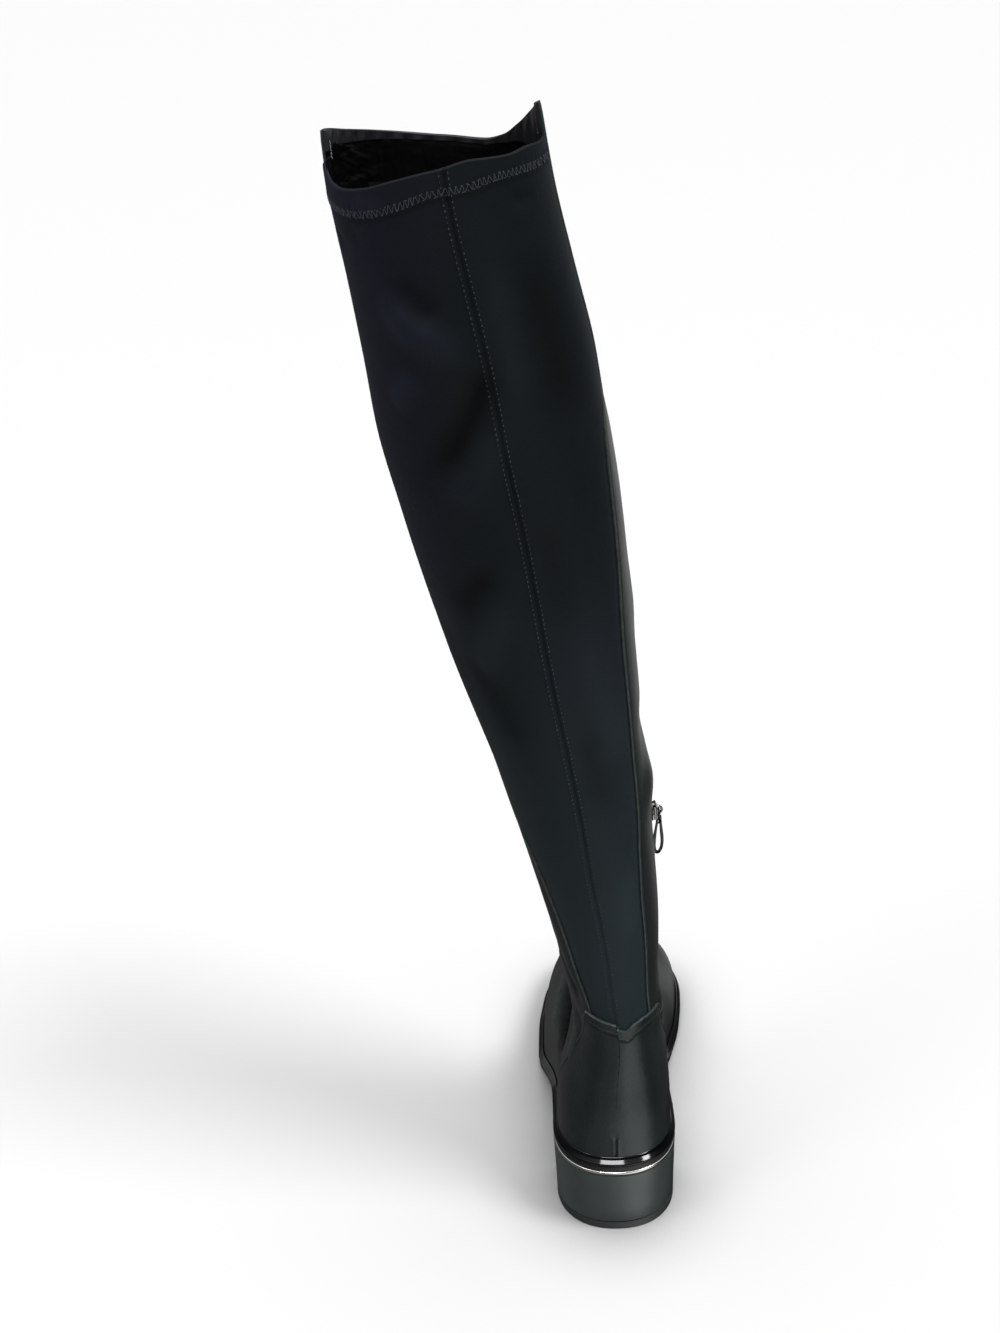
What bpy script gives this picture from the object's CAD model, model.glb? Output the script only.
import math

import bmesh
import bpy
import numpy as np
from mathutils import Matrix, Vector, noise


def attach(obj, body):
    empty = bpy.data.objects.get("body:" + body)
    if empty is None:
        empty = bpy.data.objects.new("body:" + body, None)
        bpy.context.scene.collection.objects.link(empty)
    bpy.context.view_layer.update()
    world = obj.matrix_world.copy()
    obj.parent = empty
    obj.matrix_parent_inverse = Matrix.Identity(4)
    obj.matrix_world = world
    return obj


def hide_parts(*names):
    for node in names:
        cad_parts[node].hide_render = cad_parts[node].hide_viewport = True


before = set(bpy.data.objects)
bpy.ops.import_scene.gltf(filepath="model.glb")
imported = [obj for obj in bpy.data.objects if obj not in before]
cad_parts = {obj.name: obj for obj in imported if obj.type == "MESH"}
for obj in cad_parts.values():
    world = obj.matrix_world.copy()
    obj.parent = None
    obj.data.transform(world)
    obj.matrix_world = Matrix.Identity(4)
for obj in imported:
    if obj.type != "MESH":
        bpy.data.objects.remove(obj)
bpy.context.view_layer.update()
print("frame loaded:", len(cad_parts), "nodes")

# Lengths are in millimetres until a mesh is made. x runs to the outer side of the leg, t forward from the rear
# of the sole, z up. Angles go round the boot from the centre back by way of the outer side.
millimetre = 0.001
heelMiddle = 31.0            # t of the middle of the top lift, where the origin is

# the last and the shaft, the same sizes as the CAD model
form = {
    "soleLength": 277.0,
    "heelCap": 38.0,
    "toeCap": 55.0,
    "endRoundness": 2.2,
    "ledge": 4.3,            # the sole stands out this far
    "wall": 2.0,
    "gap": 0.3,
    "ankleLine": 60.0,
    "behind": -10.0,         # t that lies behind everything
    "footStart": 42.0,
    "toeRound": 36.0,
    "toeSquareness": 2.3,
    "footWall": 6.0,
    "joinLength": 34.0,
    "joinRise": 30.0,
    "joinNarrowing": 0.17,
    "fillet": 16.0,
    "filletStart": 50.0,
    "filletLength": 55.0,
    "outline": (             # t, outer and inner half width of the sole
        (0, 37.6, 37.6), (40, 37.6, 37.6), (62, 38, 36.6), (100, 41, 33), (130, 45.2, 36.8),
        (163, 49, 43.8), (190, 48.8, 50.4), (215, 46.2, 53.2), (240, 41.4, 54.2), (277, 35, 55),
    ),
    "sole": (                # t, top of the outsole, thickness
        (0, 53.6, 4), (66, 53.6, 4), (82, 47.1, 4), (100, 37.3, 4), (120, 26.2, 4.2),
        (138, 15.6, 4.6), (152, 8.4, 5), (165, 5, 5), (205, 5, 5), (225, 6.2, 5),
        (250, 9.8, 5), (277, 16.5, 5),
    ),
    "foot": (                # t, top line of the foot, squareness
        (40, 175, 2.2), (70, 172, 2.2), (95, 160, 2.1), (114, 138, 2), (130, 115, 2),
        (145, 98, 2), (165, 80.5, 2.1), (190, 68, 2.15), (215, 59.5, 2.2), (240, 53.5, 2.3),
        (260, 50, 2.35), (277, 47.5, 2.4),
    ),
    "leg": (                 # z, back, front, centre, half width, squareness
        (48, 4.3, 71.7, 0, 33.3, 2.2), (61, 4.3, 71.7, 0, 33.3, 2.2), (80, 3.5, 78, -0.3, 32.8, 2.2),
        (110, 6.5, 104, -2.1, 29.3, 2.2), (134, 9.5, 111, -3.8, 25.3, 2.15),
        (150, 11.5, 114.5, -2.2, 27, 2.15), (165, 12.5, 115.5, -0.4, 28.6, 2.1),
        (200, 12.8, 116.5, 3.2, 32.2, 2.1), (230, 12, 117, 7.5, 35, 2.1),
        (300, 9, 119, 18.9, 41.5, 2.1), (380, 6, 121, 34, 50.7, 2.15),
        (460, 5, 124, 46.9, 57.4, 2.2), (500, 5, 125.5, 53.8, 59, 2.2),
        (540, 5, 127, 59.2, 57.8, 2.2), (580, 5, 129, 66.2, 55.7, 2.2),
        (620, 5.5, 131, 73.2, 54.2, 2.2), (665, 6, 133, 77.5, 52, 2.2),
    ),
    "rings": (               # height at the ankle line, slope forward, share of the sole's curve
        (53.9, 0, 1), (60, 0, 1), (71, 0, 0.93), (85, 0, 0.72), (97, 0, 0.50),
        (113, 0, 0.25), (138, 0.12, 0), (175, 0.10, 0), (235, 0.02, 0), (640, 0, 0),
    ),
}


def read(rows, column, wanted):
    # a curve through one column of a table that never overshoots between two rows
    rows = np.asarray(rows, dtype=float)
    keys, values = rows[:, 0], rows[:, column]
    wanted = np.clip(np.asarray(wanted, dtype=float), keys[0], keys[-1])
    step = np.diff(keys)
    secant = np.diff(values) / step
    slope = np.concatenate([[secant[0]], np.zeros(len(keys) - 2), [secant[-1]]])
    left, right = secant[:-1], secant[1:]
    sameWay = left * right > 0
    weightLeft = 2 * step[1:] + step[:-1]
    weightRight = step[1:] + 2 * step[:-1]
    mean = (weightLeft + weightRight) / (
        weightLeft / np.where(sameWay, left, 1.0) + weightRight / np.where(sameWay, right, 1.0)
    )
    slope[1:-1] = np.where(sameWay, mean, 0.0)
    span = np.clip(np.searchsorted(keys, wanted, side="right") - 1, 0, len(step) - 1)
    width = step[span]
    u = (wanted - keys[span]) / width
    start = values[span] * (1 + 2 * u) * (1 - u) ** 2 + slope[span] * width * u * (1 - u) ** 2
    end = values[span + 1] * u * u * (3 - 2 * u) - slope[span + 1] * width * u * u * (1 - u)
    return start + end


def softStep(value):
    value = np.clip(value, 0.0, 1.0)
    return value * value * (3 - 2 * value)


def endRound(distance, length, exponent):
    share = np.clip(distance / length, 0.0, 1.0)
    return (1 - (1 - share) ** exponent) ** (1 / exponent)


def outlineHalf(t, side, inset):
    half = np.where(side > 0, read(form["outline"], 1, t), read(form["outline"], 2, t)) - inset
    rear = endRound(t - inset, form["heelCap"] - inset, form["endRoundness"])
    toe = endRound(form["soleLength"] - inset - t, form["toeCap"] - inset, form["endRoundness"])
    return half * rear * toe


def soleTop(t):
    return read(form["sole"], 1, t)


def soleBottom(t):
    return soleTop(t) - read(form["sole"], 2, t)


def feather(t):
    return soleTop(t) + form["gap"]


def legCentre(z):
    return read(form["leg"], 3, z)


def sectionAt(t, z, side):
    # what the form's width across the boot depends on at one t and z
    back, front, half = (read(form["leg"], column, z) for column in (1, 2, 4))
    depth = (front - back) / 2
    base = feather(t)
    closing = endRound(form["soleLength"] - form["ledge"] - t, form["toeRound"], form["toeSquareness"])
    top = base + (read(form["foot"], 1, t) - base) * closing
    start = base + form["footWall"] * closing
    join = (1 - softStep((t - form["footStart"]) / form["joinLength"])) * softStep((z - start) / form["joinRise"])
    footHalf = outlineHalf(t, side, form["ledge"]) * (1 - form["joinNarrowing"] * join)
    rise = np.maximum(top - start, 0.01)
    return {
        "centre": legCentre(z),
        "half": half,
        "power": read(form["leg"], 5, z),
        "along": np.abs(t - (front + back) / 2) / depth,
        "legScale": np.minimum(half, depth),
        "footHalf": np.maximum(footHalf, 0.01),
        "footPower": read(form["foot"], 2, t),
        "height": np.maximum(z - start, 0.0) / rise,
        "footScale": np.minimum(np.maximum(footHalf, 0.01), rise),
        "noFoot": (t < form["footStart"]) | (footHalf <= 0.01),
        "reach": form["fillet"] * softStep((t - form["filletStart"]) / form["filletLength"]) + 0.001,
    }


def fieldAt(x, s):
    # below zero inside the boot's form, a soft blend of the leg and the foot
    leg = (np.abs(x - s["centre"]) / s["half"]) ** s["power"] + s["along"] ** s["power"]
    leg = (leg ** (1 / s["power"]) - 1) * s["legScale"]
    foot = (np.abs(x) / s["footHalf"]) ** s["footPower"] + s["height"] ** s["footPower"]
    foot = (foot ** (1 / s["footPower"]) - 1) * s["footScale"]
    foot = np.where(s["noFoot"], 20.0, foot)
    overlap = np.maximum(s["reach"] - np.abs(leg - foot), 0.0) / s["reach"]
    return np.minimum(leg, foot) - overlap * overlap * s["reach"] / 4


def inMiddle(t, z):
    # whether a point of the middle line lies inside the form
    return fieldAt(legCentre(z), sectionAt(t, z, 1.0)) < 0


def halve(inside, outside, isInside, steps=30):
    for _ in range(steps):
        middle = (inside + outside) / 2
        within = isInside(middle)
        inside = np.where(within, middle, inside)
        outside = np.where(within, outside, middle)
    return (inside + outside) / 2


def surfaceX(t, z, side):
    t, z, side = np.broadcast_arrays(np.asarray(t, float), np.asarray(z, float), np.asarray(side, float))
    section = sectionAt(t, z, side)
    centre = section["centre"]
    return halve(centre, centre + side * 90.0, lambda x: fieldAt(x, section) < 0)


def heightOn(height, t):
    # height of the ring that passes the ankle line at height
    slope = read(form["rings"], 1, height)
    follow = read(form["rings"], 2, height)
    return height + slope * (t - form["ankleLine"]) + follow * (feather(t) - feather(form["ankleLine"]))


def profileEnds(heights):
    ends = []
    for far in (form["behind"], form["soleLength"]):
        inside, outside = (np.full(heights.shape, t) for t in (form["ankleLine"], far))
        ends.append(halve(inside, outside, lambda t: inMiddle(t, heightOn(heights, t))))
    return ends


def unit(vectors):
    return vectors / np.maximum(np.linalg.norm(vectors, axis=-1, keepdims=True), 1e-9)


def hump(distance, width):
    return np.exp(-(distance / width) ** 2)


def stations(*spans):
    # values through spans of start, end and count that share their ends
    return np.concatenate([np.linspace(*span)[min(i, 1):] for i, span in enumerate(spans)])


# a fine grid of surface points, normals and folds that every piece of the upper is laid on
base = {
    "columns": 480, "heights": stations((53.9, 140.0, 132), (140.0, 665.0, 312)),
    "easeWidth": 9.0, "easeLow": 98.0, "easeHigh": 154.0, "easeRise": 10.0, "easeRounds": 40,
}


def layBase():
    angle = np.arange(base["columns"]) * 2 * math.pi / base["columns"]
    side = np.where(angle <= math.pi, 1.0, -1.0)
    back, front = profileEnds(base["heights"])
    t = back[:, None] + (front - back)[:, None] * (1 - np.cos(angle)) / 2
    z = heightOn(base["heights"][:, None], t)
    x = surfaceX(t, z, np.broadcast_to(side, t.shape))
    # the foot begins at a step behind the ankle, which is eased into the leg here
    near = np.exp(-((t - form["footStart"]) / base["easeWidth"]) ** 4)
    near = near * softStep((z - base["easeLow"]) / base["easeRise"])
    near = near * softStep((base["easeHigh"] - z) / base["easeRise"])
    for _ in range(base["easeRounds"]):
        x = x + ((np.roll(x, 1, axis=1) + np.roll(x, -1, axis=1)) / 2 - x) * near / 2
    onProfile = [0, base["columns"] // 2]
    x[:, onProfile] = legCentre(z[:, onProfile])
    base["points"] = np.stack([x, t, z], axis=-1)
    base["back"], base["front"] = back, front
    along = np.gradient(base["points"], axis=0)
    roundIt = np.roll(base["points"], -1, axis=1) - np.roll(base["points"], 1, axis=1)
    base["normals"] = unit(np.cross(roundIt, along))
    base["folds"] = np.zeros(t.shape)


def cubic(f):
    return (
        -0.5 * f + f ** 2 - 0.5 * f ** 3,
        1 - 2.5 * f ** 2 + 1.5 * f ** 3,
        0.5 * f + 2 * f ** 2 - 1.5 * f ** 3,
        -0.5 * f ** 2 + 0.5 * f ** 3,
    )


def sample(grid, angle, height):
    # the grid's value at an angle in degrees and a ring height, by cubic interpolation
    count = len(base["heights"])
    row = np.interp(height, base["heights"], np.arange(count))
    column = (np.asarray(angle) % 360.0) * base["columns"] / 360.0
    rowStart = np.minimum(np.floor(row).astype(int), count - 2)
    columnStart = np.floor(column).astype(int)
    rowShare, columnShare = cubic(row - rowStart), cubic(column - columnStart)
    total = 0.0
    for i in range(4):
        rows = np.clip(rowStart + i - 1, 0, count - 1)
        for j in range(4):
            value = grid[rows, (columnStart + j - 1) % base["columns"]]
            weight = rowShare[i] * columnShare[j]
            total = total + (weight[..., None] * value if value.ndim > weight.ndim else weight * value)
    return total


def outward(angle, height):
    return unit(sample(base["normals"], angle, height))


def place(angle, height, offset=0.0, folds=1.0):
    # points on the boot, lifted off the form by offset and by the folds
    angle, height = np.broadcast_arrays(np.asarray(angle, float), np.asarray(height, float))
    lift = offset + folds * sample(base["folds"], angle, height)
    return sample(base["points"], angle, height) + outward(angle, height) * lift[..., None]


def heightFor(angle, z):
    # ring height that lies at z over the floor at this angle
    angle, z = np.broadcast_arrays(np.asarray(angle, float), np.asarray(z, float))
    height = z.copy()
    for _ in range(8):
        height = height + z - sample(base["points"], angle, height)[..., 2]
    return height


def angleFor(t, height, side):
    # angle at which the ring of this height passes t
    back = np.interp(height, base["heights"], base["back"])
    front = np.interp(height, base["heights"], base["front"])
    turn = np.degrees(np.arccos(np.clip(1 - 2 * (t - back) / (front - back), -1, 1)))
    return np.where(side > 0, turn, 360.0 - turn)


def degreesPerMm(angle, height):
    ahead, behind = (sample(base["points"], np.asarray(angle) + turn, height) for turn in (1.0, -1.0))
    return 2.0 / np.maximum(np.linalg.norm(ahead - behind, axis=-1), 0.05)


def shifted(angle, height, distance):
    # the angle that lies a distance in mm further round
    return angle + distance * degreesPerMm(angle, height)


# folds and dents: width and depth in mm (above zero stands out), then the way they run as angle and z
foldRows = (
    # outer ankle: the shaft sinks in over the foot, and the leather bags below it
    (5, -2.6, ((80, 192), (66, 178), (52, 166), (41, 156))),
    (8, 2.2, ((100, 170), (88, 158), (74, 150))),
    (4, -6.4, ((94, 158), (86, 137), (82, 124), (77, 110), (70, 96), (58, 78))),
    (4.6, 3.8, ((100, 152), (96, 136), (92, 116), (86, 94), (77, 74))),
    (3.6, 2.6, ((72, 152), (66, 139), (61, 128), (56, 116), (53, 102))),
    (4.5, 2.4, ((122, 120), (128, 104), (132, 88))),
    (5, -2, ((116, 150), (108, 122), (106, 94))),
    # ridge along the outer seam
    (4, 1.4, ((62, 248), (54, 218), (48, 190), (42, 164))),
    # front of the ankle
    (6, -2.4, ((130, 150), (160, 142), (200, 142), (232, 150))),
    (7, 2, ((135, 132), (165, 124), (198, 124), (228, 132))),
    (5.5, -2, ((138, 118), (168, 108), (196, 108), (222, 118))),
    (7, 1.8, ((128, 172), (160, 164), (196, 165), (226, 172))),
    (5, -1.6, ((126, 192), (160, 184), (190, 185), (214, 192))),
    # inner ankle
    (5, -1.8, ((286, 172), (272, 158), (262, 140), (258, 122))),
    (6, 1.6, ((296, 156), (284, 140), (276, 120))),
    (5, -1.6, ((240, 128), (252, 110), (262, 96))),
    # bulge over the slider
    (15, 3, ((296, 298), (278, 290), (260, 284), (240, 284))),
    (11, -1.5, ((292, 330), (272, 326), (248, 322))),
    # knee hollow: a deep slanting trough with a full ridge over it
    (8, -4.6, ((354, 547), (359, 534), (8, 514), (18, 499), (30, 488))),
    (9, 3.4, ((32, 584), (24, 566), (12, 556), (3, 545))),
    (7, 2.2, ((40, 520), (32, 532), (22, 540))),
    (9, 2.2, ((352, 520), (2, 500), (12, 482), (20, 470))),
    (7, -2.2, ((26, 590), (17, 574), (8, 566))),
    # long soft dents of the empty shaft
    (8, -2.6, ((10, 444), (18, 432), (28, 422), (38, 412))),
    (8, 2, ((6, 428), (16, 408), (24, 392), (30, 372))),
    (9, -2, ((40, 392), (32, 372), (26, 350), (22, 328))),
    (13, -3, ((322, 600), (320, 566), (318, 532), (322, 505))),
    (10, 2.2, ((342, 596), (344, 556), (346, 520))),
    (10, -1.6, ((346, 470), (342, 440), (340, 404))),
    (10, 1.8, ((330, 420), (328, 384), (324, 346), (322, 310))),
    (8, -1.6, ((340, 356), (338, 322), (336, 290))),
    (7, 1.4, ((326, 260), (332, 232), (338, 204))),
    (12, -1.6, ((60, 420), (54, 380), (46, 340))),
    (12, -2, ((96, 500), (130, 478), (170, 470), (214, 480), (244, 496))),
    (14, 2, ((100, 470), (140, 448), (180, 444), (226, 456), (256, 468))),
    (14, -1.4, ((222, 524), (250, 516), (280, 520))),
    (16, 1.2, ((232, 430), (256, 404), (280, 380))),
    (12, -1.4, ((100, 360), (128, 340), (160, 334))),
    # slack under the hem
    (5, -1.6, ((74, 606), (62, 600), (48, 604), (36, 606))),
    (5, 1.2, ((40, 622), (30, 618), (20, 617))),
    (4, -0.9, ((326, 622), (316, 618), (304, 620))),
    # ball of the foot
    (4, -1.2, ((150, 76), (170, 70), (190, 70), (206, 76))),
    (5, 1.1, ((146, 82), (168, 77), (192, 77), (210, 82))),
)


folding = {"fineSteps": 6, "reach": 3.2, "fadeShare": 0.32, "endDepth": 0.15}


def addFolds(rows):
    # each fold is a soft trough or ridge along a smooth path, fading out at both ends
    points = base["points"].reshape(-1, 3)
    for width, depth, way in rows:
        way = np.array(way, dtype=float)
        way[:, 0] = np.degrees(np.unwrap(np.radians(way[:, 0])))
        stops = np.arange(len(way), dtype=float)
        fine = np.linspace(0, len(way) - 1, folding["fineSteps"] * (len(way) - 1) + 1)
        angle = read(np.column_stack([stops, way[:, 0]]), 1, fine)
        z = read(np.column_stack([stops, way[:, 1]]), 1, fine)
        line = sample(base["points"], angle, heightFor(angle, z))
        low, high = line.min(axis=0) - folding["reach"] * width, line.max(axis=0) + folding["reach"] * width
        near = np.where(((points > low) & (points < high)).all(axis=1))[0]
        here = points[near]
        best = np.full(len(near), 1e9)
        share = np.zeros(len(near))
        for k in range(len(line) - 1):
            start, run = line[k], line[k + 1] - line[k]
            u = np.clip(((here - start) @ run) / (run @ run), 0.0, 1.0)
            gap = np.linalg.norm(here - start - u[:, None] * run, axis=1)
            closer = gap < best
            best = np.where(closer, gap, best)
            share = np.where(closer, (k + u) / (len(line) - 1), share)
        fade = softStep(np.minimum(share, 1 - share) / folding["fadeShare"])
        fade = fade * (1 - folding["endDepth"]) + folding["endDepth"]
        base["folds"].reshape(-1)[near] += depth * hump(best, width) * fade


layBase()
addFolds(foldRows)
print("form laid out:", base["points"].shape[0], "rings")


def toWorld(points):
    points = np.asarray(points, dtype=float)
    return np.stack([points[..., 0], heelMiddle - points[..., 1], points[..., 2]], axis=-1) * millimetre


def addObject(name, data):
    thing = bpy.data.objects.new(name, data)
    bpy.context.scene.collection.objects.link(thing)
    return thing


def makePiece(name, points, faces, material, slot, replaces=None, body="boot", sharp=35.0, wear=None):
    # a mesh from points in mm, turned so that its faces point out; wear is 1 where rubbed, below 0 where dull
    mesh = bpy.data.meshes.new(name)
    vertices = toWorld(points).reshape(-1, 3)
    mesh.from_pydata(vertices.tolist(), [], [tuple(int(i) for i in face) for face in faces])
    if wear is not None:
        mesh.attributes.new("wear", "FLOAT", "POINT").data.foreach_set("value", np.clip(wear, -1, 1).ravel())
    work = bmesh.new()
    work.from_mesh(mesh)
    bmesh.ops.remove_doubles(work, verts=work.verts, dist=0.002 * millimetre)
    if work.calc_volume(signed=True) < 0:
        bmesh.ops.reverse_faces(work, faces=work.faces)
    work.to_mesh(mesh)
    work.free()
    mesh.polygons.foreach_set("use_smooth", [True] * len(mesh.polygons))
    mesh.set_sharp_from_angle(angle=math.radians(sharp))
    mesh.materials.append(material)
    piece = addObject(name, mesh)
    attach(piece, body)
    if replaces:
        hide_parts(replaces)
    return piece


def gridFaces(rows, columns, start=0, closed=False, turned=False):
    k, j = np.meshgrid(np.arange(rows - 1), np.arange(columns if closed else columns - 1), indexing="ij")
    beside = (j + 1) % columns
    quads = np.stack([k * columns + j, (k + 1) * columns + j, (k + 1) * columns + beside, k * columns + beside], -1)
    quads = quads.reshape(-1, 4) + start
    return quads[:, ::-1] if turned else quads


def makeShell(name, outer, inner, material, slot, closed=False, wear=None, **options):
    # a closed shell between two grids of the same size; closed means that the rows run right round
    rows, columns = outer.shape[:2]
    layer = rows * columns
    faces = [gridFaces(rows, columns, 0, closed), gridFaces(rows, columns, layer, closed, turned=True)]
    index = np.arange(layer).reshape(rows, columns)
    if closed:
        rims = [np.append(index[0], index[0, 0])[::-1], np.append(index[-1], index[-1, 0])]
    else:
        rims = [np.concatenate([index[0, ::-1], index[1:, 0], index[-1, 1:], index[-2::-1, -1]])]
    for rim in rims:
        faces.append(np.stack([rim[:-1], rim[:-1] + layer, rim[1:] + layer, rim[1:]], -1))
    points = np.concatenate([outer.reshape(-1, 3), inner.reshape(-1, 3)])
    if wear is not None:
        options["wear"] = np.concatenate([np.broadcast_to(wear, (rows, columns)).ravel(), np.zeros(layer)])
    return makePiece(name, points, np.concatenate(faces), material, slot, **options)


def joinParts(parts):
    # several closed meshes as one list of points and faces: loops joined one to the next, and whether the last
    # loop joins the first; both ends are capped otherwise
    points, faces, start = [], [], 0
    for loops, closed in parts:
        rows, columns = loops.shape[:2]
        faces += [tuple(face) for face in gridFaces(rows, columns, start, closed=True)]
        last = start + (rows - 1) * columns
        if closed:
            beside = [(j, (j + 1) % columns) for j in range(columns)]
            faces += [(last + j, start + j, start + after, last + after) for j, after in beside]
        else:
            faces += [tuple(range(start, start + columns)), tuple(range(last, last + columns))[::-1]]
        points.append(loops.reshape(-1, 3))
        start += rows * columns
    return np.concatenate(points), faces


def makeLathe(name, loops, material, slot, closed=False, **options):
    return makePiece(name, *joinParts([(np.asarray(loops), closed)]), material, slot, **options)


def roundEdge(distance, radius):
    # how far a folded edge has dropped below the face, at a distance from the edge
    share = np.clip(1 - distance / radius, 0.0, 1.0)
    return radius * (1 - np.sqrt(1 - share * share))


def smoothLoop(points, count):
    # a closed smooth curve through a few points
    points = np.asarray(points, dtype=float)
    place = np.arange(count) * len(points) / count
    start = np.floor(place).astype(int)
    weights = cubic(place - start)
    return sum(weights[i][:, None] * points[(start + i - 1) % len(points)] for i in range(4))


def between(low, high, count):
    # evenly spaced columns between two columns, without the two themselves
    return low + (high - low) * np.linspace(0, 1, count)[1:-1]


def runLength(points, axis):
    # distance walked along one axis of a grid of points
    first = np.take(points, [0], axis=axis)
    return np.cumsum(np.linalg.norm(np.diff(points, axis=axis, prepend=first), axis=-1), axis=axis)


def turnedEdge(distance, bead, rise, groove, line, width):
    # a folded edge stands up a little in front of its sunk stitch line
    return bead * softStep((1.9 - distance) / rise) - groove * hump(distance - line, width)


def linear(hexColour):
    values = [int(hexColour[i:i + 2], 16) / 255 for i in (1, 3, 5)]
    return tuple(v / 12.92 if v <= 0.04045 else ((v + 0.055) / 1.055) ** 2.4 for v in values) + (1.0,)


def perMetre(sizeMm):
    return 1 / (sizeMm * millimetre)


def addNode(tree, kind, settings=None, **inputs):
    # adds a node; an input is a value or another node's output, and i0, i1 are its sockets by number
    node = tree.nodes.new(kind)
    for name, value in (settings or {}).items():
        setattr(node, name, value)
    for name, value in inputs.items():
        byNumber = name[0] == "i" and name[1:].isdigit()
        socket = node.inputs[int(name[1:]) if byNumber else name.replace("_", " ")]
        if isinstance(value, bpy.types.NodeSocket):
            tree.links.new(value, socket)
        else:
            socket.default_value = value
    return node


def objectPlace(tree):
    return addNode(tree, "ShaderNodeTexCoord").outputs["Object"]


def wearOf(tree):
    return addNode(tree, "ShaderNodeAttribute", {"attribute_name": "wear"}).outputs["Fac"]


def noiseOf(tree, place, sizeMm, detail, roughness=0.5):
    return addNode(tree, "ShaderNodeTexNoise", Vector=place, Scale=perMetre(sizeMm), Detail=detail,
                   Roughness=roughness).outputs["Fac"]


def ribsOf(tree, place, pitchMm, direction, settings=None, **inputs):
    # a wave texture repeats after 2 pi of its scale
    return addNode(tree, "ShaderNodeTexWave", {"bands_direction": direction, **(settings or {})}, Vector=place,
                   Scale=perMetre(pitchMm) / 6.28, **inputs).outputs["Fac"]


def mapRange(tree, value, start, end, low, high, smooth=False):
    settings = {"interpolation_type": "SMOOTHSTEP"} if smooth else {}
    return addNode(tree, "ShaderNodeMapRange", settings, Value=value, From_Min=start, From_Max=end, To_Min=low,
                   To_Max=high).outputs["Result"]


def combine(tree, operation, first, second):
    return addNode(tree, "ShaderNodeMath", {"operation": operation}, i0=first, i1=second).outputs["Value"]


def mixColour(tree, share, first, second):
    first, second = (linear(colour) if isinstance(colour, str) else colour for colour in (first, second))
    return addNode(tree, "ShaderNodeMix", {"data_type": "RGBA"}, Factor=share, i6=first, i7=second).outputs[2]


def scaleColour(tree, colour, share):
    return addNode(tree, "ShaderNodeVectorMath", {"operation": "SCALE"}, i0=colour, Scale=share).outputs[0]


def addBump(tree, height, strength, depthMm, under=None):
    node = addNode(tree, "ShaderNodeBump", Height=height, Strength=strength, Distance=depthMm * millimetre)
    if under:
        tree.links.new(under, node.inputs["Normal"])
    tree.links.new(node.outputs["Normal"], tree.nodes["Principled BSDF"].inputs["Normal"])
    return node.outputs["Normal"]


def newMaterial(name, hexColour, **values):
    # a material, its tree, and a function that links an output to an input of its shader
    material = bpy.data.materials.new(name)
    material.use_nodes = True
    tree = material.node_tree
    shader = tree.nodes["Principled BSDF"]
    shader.inputs["Base Color"].default_value = linear(hexColour)
    for key, value in values.items():
        shader.inputs[key.replace("_", " ")].default_value = value
    material.diffuse_color = linear(hexColour)
    return material, tree, lambda output, socket: tree.links.new(output, shader.inputs[socket])


def leatherMaterial(name, dark, light, roughness, grainDepth):
    # smooth calf leather with a thin finish: fine closed grain, uneven colour and polish, paler worn edges
    material, tree, feed = newMaterial(name, dark, IOR=1.5, Specular_Tint=linear("#dfe9e8"))
    place, wear = objectPlace(tree), wearOf(tree)
    clouds = noiseOf(tree, place, 38.0, 4.0, 0.55)
    rubbed = combine(tree, "MULTIPLY", wear, noiseOf(tree, place, 4.0, 3.0))
    colour = mixColour(tree, rubbed, mixColour(tree, clouds, dark, light), "#454d4d")
    feed(scaleColour(tree, colour, mapRange(tree, wear, -1.0, 0.0, 0.3, 1.0)), "Base Color")
    feed(mapRange(tree, clouds, 0.0, 1.0, roughness - 0.05, roughness + 0.07), "Roughness")
    feed(mapRange(tree, wear, -1.0, 0.0, 0.1, 0.5), "Specular IOR Level")
    grain = addNode(tree, "ShaderNodeTexVoronoi", {"feature": "SMOOTH_F1"}, Vector=place, Scale=perMetre(0.9),
                    Smoothness=0.6)
    fine = addBump(tree, grain.outputs["Distance"], grainDepth, 0.12)
    addBump(tree, noiseOf(tree, place, 5.0, 6.0, 0.62), 0.35, 0.6, fine)
    return material


def fabricMaterial(name, dark, light, bloom):
    # bonded stretch knit: dense and matte, a little warmer in patches, darker down in the folds
    material, tree, feed = newMaterial(
        name, dark, Specular_IOR_Level=0.12, Sheen_Weight=0.05, Sheen_Roughness=0.5, Sheen_Tint=linear("#8c97a5"),
        IOR=1.45, Roughness=0.62)
    place, wear = objectPlace(tree), wearOf(tree)
    clouds = noiseOf(tree, place, 60.0, 3.0)
    patches = mapRange(tree, noiseOf(tree, place, 110.0, 2.0), 0.45, 0.65, 0.0, 0.3)
    across, _, up = addNode(tree, "ShaderNodeSeparateXYZ", Vector=place).outputs
    outerPart = mapRange(tree, across, 0.05, 0.115, 0.08, 0.8, smooth=True)
    upperPart = mapRange(tree, up, 0.2, 0.5, 0.0, 1.0, smooth=True)
    warm = combine(tree, "MULTIPLY", combine(tree, "MAXIMUM", patches, outerPart), upperPart)
    colour = mixColour(tree, warm, mixColour(tree, clouds, dark, light), bloom)
    deep = mapRange(tree, wear, 0.0, 1.0, 0.35, 1.75, smooth=True)
    paler = mapRange(tree, up, 0.15, 0.5, 2.35, 0.72, smooth=True)
    feed(scaleColour(tree, colour, combine(tree, "MULTIPLY", deep, paler)), "Base Color")
    # the knit is 0.3 mm, drawn at 0.8 mm so that it shows
    ribs, wales = (ribsOf(tree, place, 0.8, direction, Distortion=0.6, Detail=1.0) for direction in "ZX")
    addBump(tree, combine(tree, "MULTIPLY", ribs, wales), 0.25, 0.1)
    return material


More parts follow.
